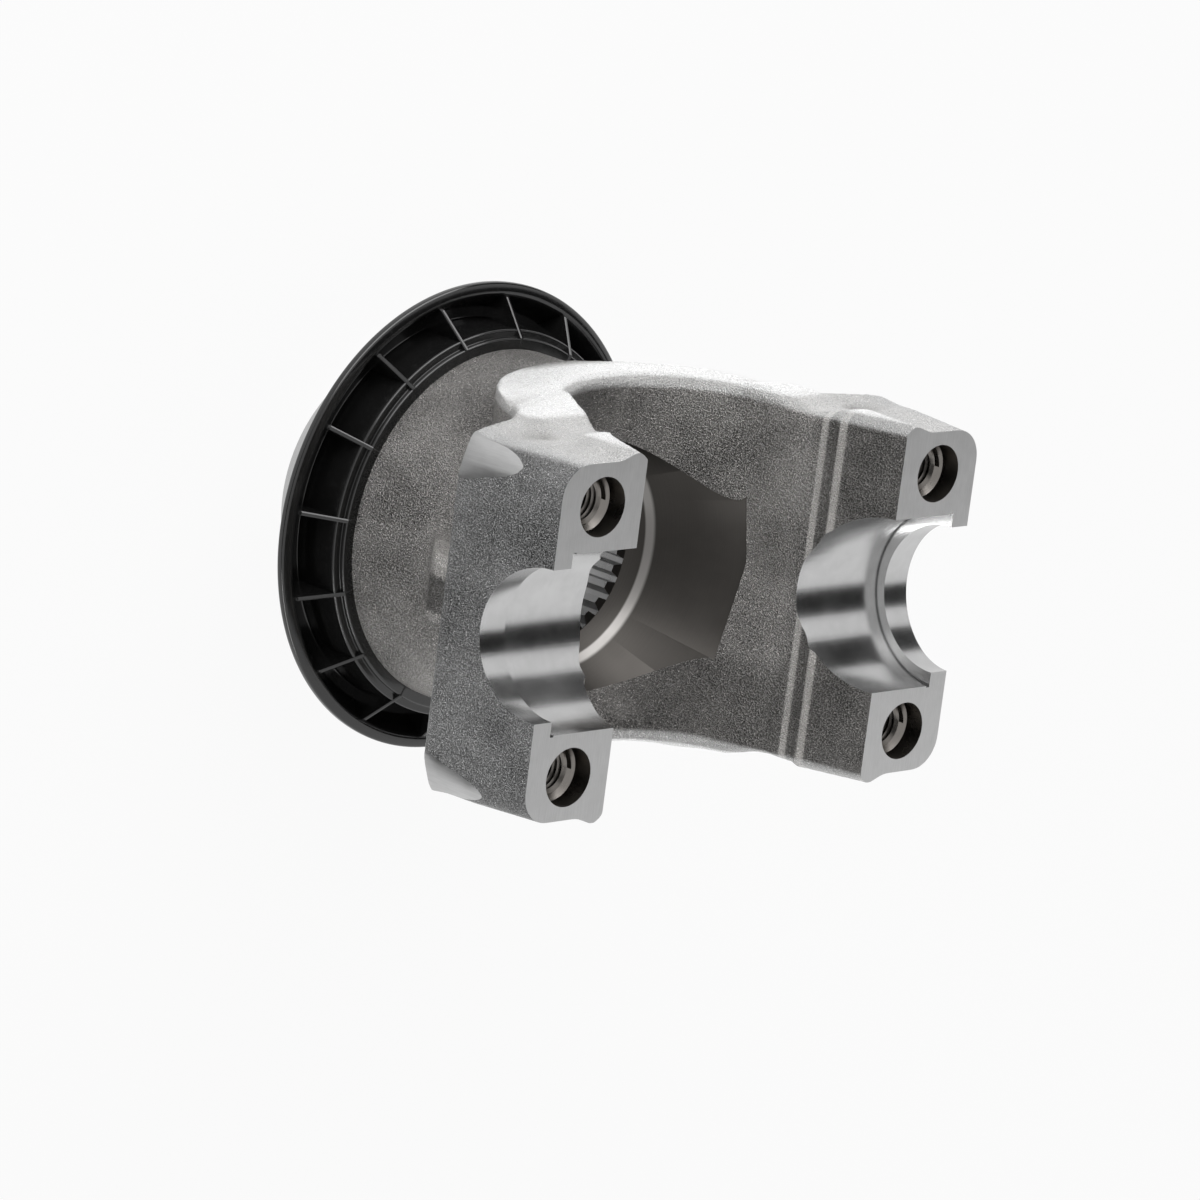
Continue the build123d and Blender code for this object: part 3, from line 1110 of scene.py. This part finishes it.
    def bolt_hole(self) -> Skin:
        """Tool for one cap bolt hole, on the Z axis.

        Returns:
            Points and faces.
        """
        top = self.pad_height
        cone = self.counterbore_depth + self.counterbore_r - self.thread_r
        point = self.thread_depth + self.thread_r / tan(radians(self.point_angle))
        profile = [
            (0, top + self.drill_rise),
            (self.counterbore_r, top + self.drill_rise),
            (self.counterbore_r, top - self.counterbore_depth),
            (self.thread_r, top - cone),
            (self.thread_r, top - self.thread_depth),
            (0, top - point),
        ]
        return spun(profile, 96, Axis.Z)


@dataclass
class ScrewThread:
    """Helical ridges of one tapped hole, in millimetres, with its flanks as shares of the pitch."""

    wall_r: float = 7.3
    crest_r: float = 6.05
    root_half: float = 0.46
    crest_half: float = 0.07
    pitch: float = 2.0
    top_depth: float = 7.2
    turns: float = 10.0
    runout_turns: float = 0.6
    runout_share: float = 0.02
    steps: int = 48

    def ridge(self, x: float, y: float, pad_height: float) -> Skin:
        """One closed helical ridge round a hole's axis.

        Args:
            x, y: The hole's axis.
            pad_height: Height of the hole's mouth.

        Returns:
            Points and faces.
        """
        section = [
            (self.wall_r, self.root_half),
            (self.crest_r, self.crest_half),
            (self.crest_r, -self.crest_half),
            (self.wall_r, -self.root_half),
        ]
        count = int(self.turns * self.steps)
        runout = self.runout_turns * self.steps
        points = []
        for n in range(count + 1):
            angle = 2 * pi * n / self.steps
            middle = pad_height - self.top_depth - self.pitch * n / self.steps
            grown = min(1.0, n / runout, (count - n) / runout + self.runout_share)
            grown = max(grown, self.runout_share)
            for radius, share in section:
                out = self.wall_r + (radius - self.wall_r) * grown
                points.append((x + out * cos(angle), y + out * sin(angle), middle + share * self.pitch))
        size = len(section)
        faces = [(0, 1, 2, 3), tuple(count * size + n for n in (3, 2, 1, 0))]
        for n in range(count):
            here, there = n * size, (n + 1) * size
            for side in range(size):
                after = (side + 1) % size
                faces.append((here + side, there + side, there + after, here + after))
        return points, faces


@dataclass
class EndYoke:
    """The forging with everything that is machined into it."""

    forging: Forging = field(default_factory=Forging)
    machining: Machining = field(default_factory=Machining)
    thread: ScrewThread = field(default_factory=ScrewThread)
    sharp_angle: float = 28.0

    def materials(self) -> list[bpy.types.Material]:
        """Make the yoke's finishes.

        Returns:
            The materials, in the order of Surface.
        """
        # A lighter band round the bowl, just above its floor
        bright_band = BrightRing(83.5, 86.8, 0.30)
        return [
            ForgedSkin().build(),
            CutFace("milled_pads", 0.54, 0.34, (0.25, 8.0, 8.0)).build(),
            CutFace("bored_saddles", 0.53, 0.22, turned=Axis.X).build(),
            CutFace("turned_bowl", 0.058, 0.44, turned=Axis.Z, warmth=0.07, ring=bright_band).build(),
            CutFace("tapped_holes", 0.19, 0.28, turned=Axis.Z, warmth=0.07).build(),
            CutFace("turned_hub", 0.50, 0.28, turned=Axis.Z).build(),
        ]

    def build(self) -> bpy.types.Object:
        """Cut every machined face into the forging.

        Returns:
            The yoke, riding on the root body in place of its solid.
        """
        finishes = self.materials()
        yoke = self.forging.build()
        set_surface(yoke, finishes, Surface.FORGED)
        cuts = self.machining
        steps: list[tuple[str, Skin, Surface, str]] = [
            ("facing", cuts.below_shoulder(), Surface.TURNED, "DIFFERENCE"),
            ("hub", cuts.hub_end(), Surface.TURNED, "UNION"),
            ("swing", cuts.swing(), Surface.MILLED, "DIFFERENCE"),
            ("pads", cuts.pads(), Surface.MILLED, "DIFFERENCE"),
            ("saddles", cuts.saddles(), Surface.BORED, "DIFFERENCE"),
            ("bowl", cuts.bowl(), Surface.BOWL, "DIFFERENCE"),
            ("spline", cuts.spline(), Surface.TURNED, "DIFFERENCE"),
            ("relief", cuts.relief(), Surface.TURNED, "DIFFERENCE"),
        ]
        for name, (points, faces), surface, operation in steps:
            tool = closed(mesh_object(name, points, faces))
            set_surface(tool, finishes, surface)
            combine(yoke, tool, operation)
            LOG.info("%s: %d faces", name, len(yoke.data.polygons))
        for x in (-cuts.bolt_x, cuts.bolt_x):
            for y in (-cuts.bolt_y, cuts.bolt_y):
                self._tap(yoke, x, y, finishes)
        smooth_by_angle(yoke, self.sharp_angle)
        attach(yoke, ROOT_BODY)
        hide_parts(YOKE_NODE)
        return yoke

    def _tap(self, yoke: bpy.types.Object, x: float, y: float, finishes: list[bpy.types.Material]) -> None:
        """Drill one cap bolt hole and leave its thread's ridges standing.

        Args:
            yoke: The yoke.
            x, y: The hole's axis.
            finishes: The yoke's materials.
        """
        points, faces = self.machining.bolt_hole()
        moved = [(px + x, py + y, pz) for px, py, pz in points]
        drill = closed(mesh_object("drill", moved, faces))
        set_surface(drill, finishes, Surface.TAPPED)
        combine(yoke, drill, "DIFFERENCE")
        ridge = closed(mesh_object("ridge", *self.thread.ridge(x, y, self.machining.pad_height)))
        set_surface(ridge, finishes, Surface.TAPPED)
        combine(yoke, ridge, "UNION")


# The shield


@dataclass
class DirtShield:
    """Dished ring with a stepped collar and radial ribs, in millimetres."""

    pad_height: float = PAD_HEIGHT
    bore_r: float = 52.5
    back_z: float = 27.0
    front_z: float = 49.0
    step_r: float = 60.0
    collar_r: float = 62.4
    step: float = 1.8
    rim_r: float = 75.3
    rim_front_depth: float = 128.9
    rim_back_depth: float = 132.8
    rim_edge_r: float = 1.2
    rim_fall: float = 1.1
    rim_land_r: float = 71.6
    channel_r: float = 65.0
    channel_depth: float = 137.5
    wall: float = 2.6
    edge_r: float = 0.85
    corner_r: float = 0.3
    back_edge_r: float = 0.8
    channel_edge_r: float = 0.9
    land_r: float = 3.5
    rib_count: int = 16
    rib_thickness: float = 1.3
    rib_angle: float = 17.1
    rib_tip_r: float = 71.0
    rib_tip_depth: float = 128.2
    rib_root_r: float = 56.7
    rib_rise: float = 0.3
    rib_sink: float = 0.8
    rib_tip_width: float = 0.5
    rib_edge: float = 0.35
    segments: int = 288
    sharp_angle: float = 30.0

    def profile(self) -> Profile:
        """Section of the ring.

        Returns:
            A closed loop with rounded corners.
        """
        rim_front = self.pad_height - self.rim_front_depth
        rim_back = self.pad_height - self.rim_back_depth
        channel = self.pad_height - self.channel_depth
        step = self.front_z - self.step
        corners = [
            (self.bore_r, self.back_z, self.corner_r),
            (self.channel_r, self.back_z, self.back_edge_r),
            (self.channel_r + self.wall, channel - self.wall, self.back_edge_r),
            (self.rim_land_r + self.wall / 2, rim_back, self.back_edge_r),
            (self.rim_r, rim_back, self.rim_edge_r),
            (self.rim_r, rim_front - self.rim_fall, self.rim_edge_r),
            (self.rim_land_r, rim_front, self.land_r),
            (self.channel_r + self.wall / 2, channel, self.channel_edge_r),
            (self.collar_r, channel, self.back_edge_r),
            (self.collar_r, step, self.edge_r),
            (self.step_r, step, self.corner_r),
            (self.step_r, self.front_z, self.edge_r),
            (self.bore_r, self.front_z, self.corner_r),
        ]
        return rounded_loop(corners)

    def rib(self, angle: float) -> Skin:
        """One rib with a rounded top.

        Args:
            angle: Where it stands, in degrees from +X.

        Returns:
            Points and faces.
        """
        foot = self.pad_height - self.channel_depth - self.rib_sink
        crown = self.front_z + self.rib_rise
        outline = [
            (self.rib_root_r, foot),
            (self.rib_root_r, crown),
            (self.step_r, crown),
            (self.rib_tip_r, self.pad_height - self.rib_tip_depth),
            (self.rib_tip_r + self.rib_tip_width, self.pad_height - self.rim_front_depth - self.rib_sink),
            (self.channel_r, foot),
        ]
        half, edge = self.rib_thickness / 2, self.rib_edge
        turn = radians(angle)
        layers = [(-half, edge), (-half + edge, 0.0), (half - edge, 0.0), (half, edge)]
        points = []
        for across, drop in layers:
            for radius, height in outline:
                lowered = height - (drop if height > foot + self.wall / 2 else 0.0)
                x, y = radius * cos(turn) - across * sin(turn), radius * sin(turn) + across * cos(turn)
                points.append((x, y, lowered))
        count = len(outline)
        last = len(layers) - 1
        faces: list[tuple[int, ...]] = [tuple(range(count)), tuple(last * count + n for n in range(count))]
        for layer in range(last):
            for n in range(count):
                after = (n + 1) % count
                here, above = layer * count, (layer + 1) * count
                faces.append((here + n, here + after, above + after, above + n))
        return points, faces

    def build(self) -> bpy.types.Object:
        """Turn the ring and join its ribs.

        Returns:
            The shield, riding on the root body in place of its solid.
        """
        points, faces = spun(self.profile(), self.segments, Axis.Z, ring=True)
        shield = closed(mesh_object(SHIELD_NODE + "_moulded", points, faces))
        for number in range(self.rib_count):
            angle = self.rib_angle + 360.0 * number / self.rib_count
            rib = closed(mesh_object("rib", *self.rib(angle)))
            combine(shield, rib, "UNION")
        shield.data.materials.clear()
        shield.data.materials.append(BlackMoulding().build())
        smooth_by_angle(shield, self.sharp_angle)
        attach(shield, ROOT_BODY)
        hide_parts(SHIELD_NODE)
        return shield


def rounded_loop(corners: Sequence[Point], steps: int = 5) -> Profile:
    """Round each corner of a closed loop.

    Args:
        corners: Radius, height and rounding of each corner.
        steps: Stretches on each rounding.

    Returns:
        The loop.
    """
    loop: Profile = []
    count = len(corners)
    for n, (radius, height, rounding) in enumerate(corners):
        here = Vector((radius, height))
        before = Vector(corners[n - 1][:2]) - here
        after = Vector(corners[(n + 1) % count][:2]) - here
        angle = before.angle(after)
        trim = min(rounding / tan(angle / 2), before.length * 0.49, after.length * 0.49)
        start, end = here + before.normalized() * trim, here + after.normalized() * trim
        for step in range(steps + 1):
            share = step / steps
            point = start.lerp(here, share).lerp(here.lerp(end, share), share)
            loop.append((point.x, point.y))
    return loop


# The studio


@dataclass(frozen=True)
class SoftBox:
    """A rectangular lamp, in metres and watts."""

    name: str
    place: Point
    size: Span
    watts: float


@dataclass
class Studio:
    """Camera, lamps, black cards, floor and world, in metres.

    A bent card's edges are places along X, each with the card's first and last angle about
    the trunnions' axis there, in degrees from +Z toward +Y.
    """

    eye: Point = (-1.41438, 0.46415, 1.45919)
    right: Point = (0.70831207, 0.12331531, 0.69504485)
    up: Point = (0.0805414, 0.96407495, -0.2531256)
    back: Point = (-0.70128959, 0.23527181, 0.67293394)
    lens: float = 196.72
    sensor: float = 36.0
    clip_end: float = 20.0
    aim: Point = (0.0, 0.0, 0.09)
    boxes: tuple[SoftBox, ...] = (
        SoftBox("top_box", (-0.1, 1.6, 0.6), (2.4, 1.1), 30.0),
        SoftBox("low_fill", (-1.1, -1.2, 0.08), (1.0, 0.12), 7.0),
    )
    trunnion_z: float = (PAD_HEIGHT - SADDLE_DROP) * MM
    flag_distance: float = 1.2
    flag_rows: int = 12
    middle_flag: tuple[Point, ...] = (
        (-0.4, -30.0, 24.0), (0.6, -30.0, 24.0), (0.8, -12.0, 22.0), (2.4, -16.0, 22.0),
    )
    upper_flag: tuple[Point, ...] = ((0.7, 54.0, 150.0), (2.4, 54.0, 150.0))
    floor_flag: tuple[Point, ...] = (
        (-0.48, -0.26, 0.002), (-0.15, -0.26, 0.002), (-0.15, 0.13, 0.002), (-0.48, 0.13, 0.002),
    )
    card_level: float = 0.01
    floor_half: float = 3.0
    floor_level: float = 0.8
    floor_glow: float = 0.93
    fill: float = 0.35

    def camera(self) -> None:
        """Place the camera where the photograph was taken from."""
        data = bpy.data.cameras.new("camera")
        data.lens = self.lens
        data.sensor_width = self.sensor
        data.clip_end = self.clip_end
        camera = bpy.data.objects.new("camera", data)
        turn = Matrix((self.right, self.up, self.back)).transposed()
        camera.matrix_world = Matrix.Translation(self.eye) @ turn.to_4x4()
        bpy.context.scene.collection.objects.link(camera)
        bpy.context.scene.camera = camera

    def lamp(self, box: SoftBox) -> None:
        """Add a soft box that faces the yoke.

        Args:
            box: The lamp.
        """
        data = bpy.data.lights.new(box.name, "AREA")
        data.shape = "RECTANGLE"
        data.size, data.size_y = box.size
        data.energy = box.watts
        lamp = bpy.data.objects.new(box.name, data)
        lamp.location = box.place
        way = Vector(self.aim) - Vector(box.place)
        lamp.rotation_euler = way.to_track_quat("-Z", "Y").to_euler()
        bpy.context.scene.collection.objects.link(lamp)

    def card(self, name: str, points: Sequence[Point], faces: Sequence[Sequence[int]]) -> None:
        """Set up a black card that only reflections meet.

        Args:
            name: The card's name.
            points: Its points, in metres.
            faces: Loops of point indices.
        """
        card = mesh_object(name, np.array(points) / MM, faces)
        material, graph = new_material(name)
        sheet = graph.node("ShaderNodeBsdfDiffuse", None, {"Color": grey(self.card_level)})
        graph.node("ShaderNodeOutputMaterial", None, {"Surface": sheet})
        card.data.materials.append(material)
        card.visible_camera = False
        card.visible_diffuse = False
        card.visible_shadow = False
        card.visible_transmission = False
        card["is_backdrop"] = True

    def bent_card(self, name: str, edges: Sequence[Point]) -> None:
        """Bend a black card round the trunnions' axis.

        Args:
            name: The card's name.
            edges: Places along X, each with the card's two angles there.
        """
        rows = self.flag_rows
        points = []
        for x, first, last in edges:
            for row in range(rows + 1):
                angle = radians(first + (last - first) * row / rows)
                up = self.trunnion_z + self.flag_distance * cos(angle)
                points.append((x, self.flag_distance * sin(angle), up))
        faces = []
        for column in range(len(edges) - 1):
            for row in range(rows):
                here = column * (rows + 1) + row
                faces.append((here, here + 1, here + rows + 2, here + rows + 1))
        self.card(name, points, faces)

    def floor(self) -> None:
        """Lay the floor, white where it is seen, that keeps the yoke's shadow."""
        half = self.floor_half / MM
        square = [(-half, -half, 0), (half, -half, 0), (half, half, 0), (-half, half, 0)]
        floor = mesh_object("floor", np.array(square), [(0, 1, 2, 3)])
        material, graph = new_material("floor")
        sheet = graph.node("ShaderNodeBsdfDiffuse", None, {"Color": grey(self.floor_level)})
        glow = graph.node("ShaderNodeEmission", None, {"Color": grey(1.0), "Strength": 1.0})
        factor = self._seen(graph) * self.floor_glow
        shader = graph.node("ShaderNodeMixShader", None, {0: factor, 1: sheet, 2: glow})
        graph.node("ShaderNodeOutputMaterial", None, {"Surface": shader})
        floor.data.materials.append(material)
        floor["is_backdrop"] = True

    @staticmethod
    def _seen(graph: Graph) -> Wire:
        """Tell the rays that show the background: from the camera, a gloss or a glass.

        Args:
            graph: The graph of the floor or the world.

        Returns:
            1 for those rays, and 0 for all others.
        """
        rays = graph.node("ShaderNodeLightPath", output="Is Camera Ray").socket.node.outputs
        camera = Wire(graph, rays["Is Camera Ray"])
        glossy = Wire(graph, rays["Is Glossy Ray"])
        clear = Wire(graph, rays["Is Transmission Ray"])
        return camera.at_least(glossy).at_least(clear)

    def world(self) -> None:
        """Plain sky: white where it is seen, and a dim fill for everything else."""
        world = bpy.data.worlds.new("studio")
        bpy.context.scene.world = world
        world.use_nodes = True
        graph = Graph(world.node_tree)
        seen = self._seen(graph)
        white = graph.node("ShaderNodeBackground", None, {"Color": grey(1.0), "Strength": 1.0})
        fill = graph.node("ShaderNodeBackground", None, {"Color": grey(1.0), "Strength": self.fill})
        shader = graph.node("ShaderNodeMixShader", None, {0: seen, 1: fill, 2: white})
        graph.node("ShaderNodeOutputWorld", None, {"Surface": shader})

    def build(self) -> None:
        """Set up the whole studio."""
        self.camera()
        for box in self.boxes:
            self.lamp(box)
        self.bent_card("middle_flag", self.middle_flag)
        self.bent_card("upper_flag", self.upper_flag)
        self.card("floor_flag", self.floor_flag, [(0, 1, 2, 3)])
        self.floor()
        self.world()
        bpy.context.scene.view_settings.view_transform = "Standard"


def corners() -> list[list[float]]:
    """Lowest and highest corner of what shows, as plain lists."""
    return [[float(value) for value in corner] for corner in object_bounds()]


def main() -> None:
    """Build the yoke, its shield and the studio."""
    logging.basicConfig(level=logging.INFO, format="%(message)s")
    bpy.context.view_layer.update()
    for part in (EndYoke(), DirtShield()):
        piece = part.build()
        LOG.info("%s: %d faces", piece.name, len(piece.data.polygons))
    Studio().build()


if __name__ == "__main__":
    main()
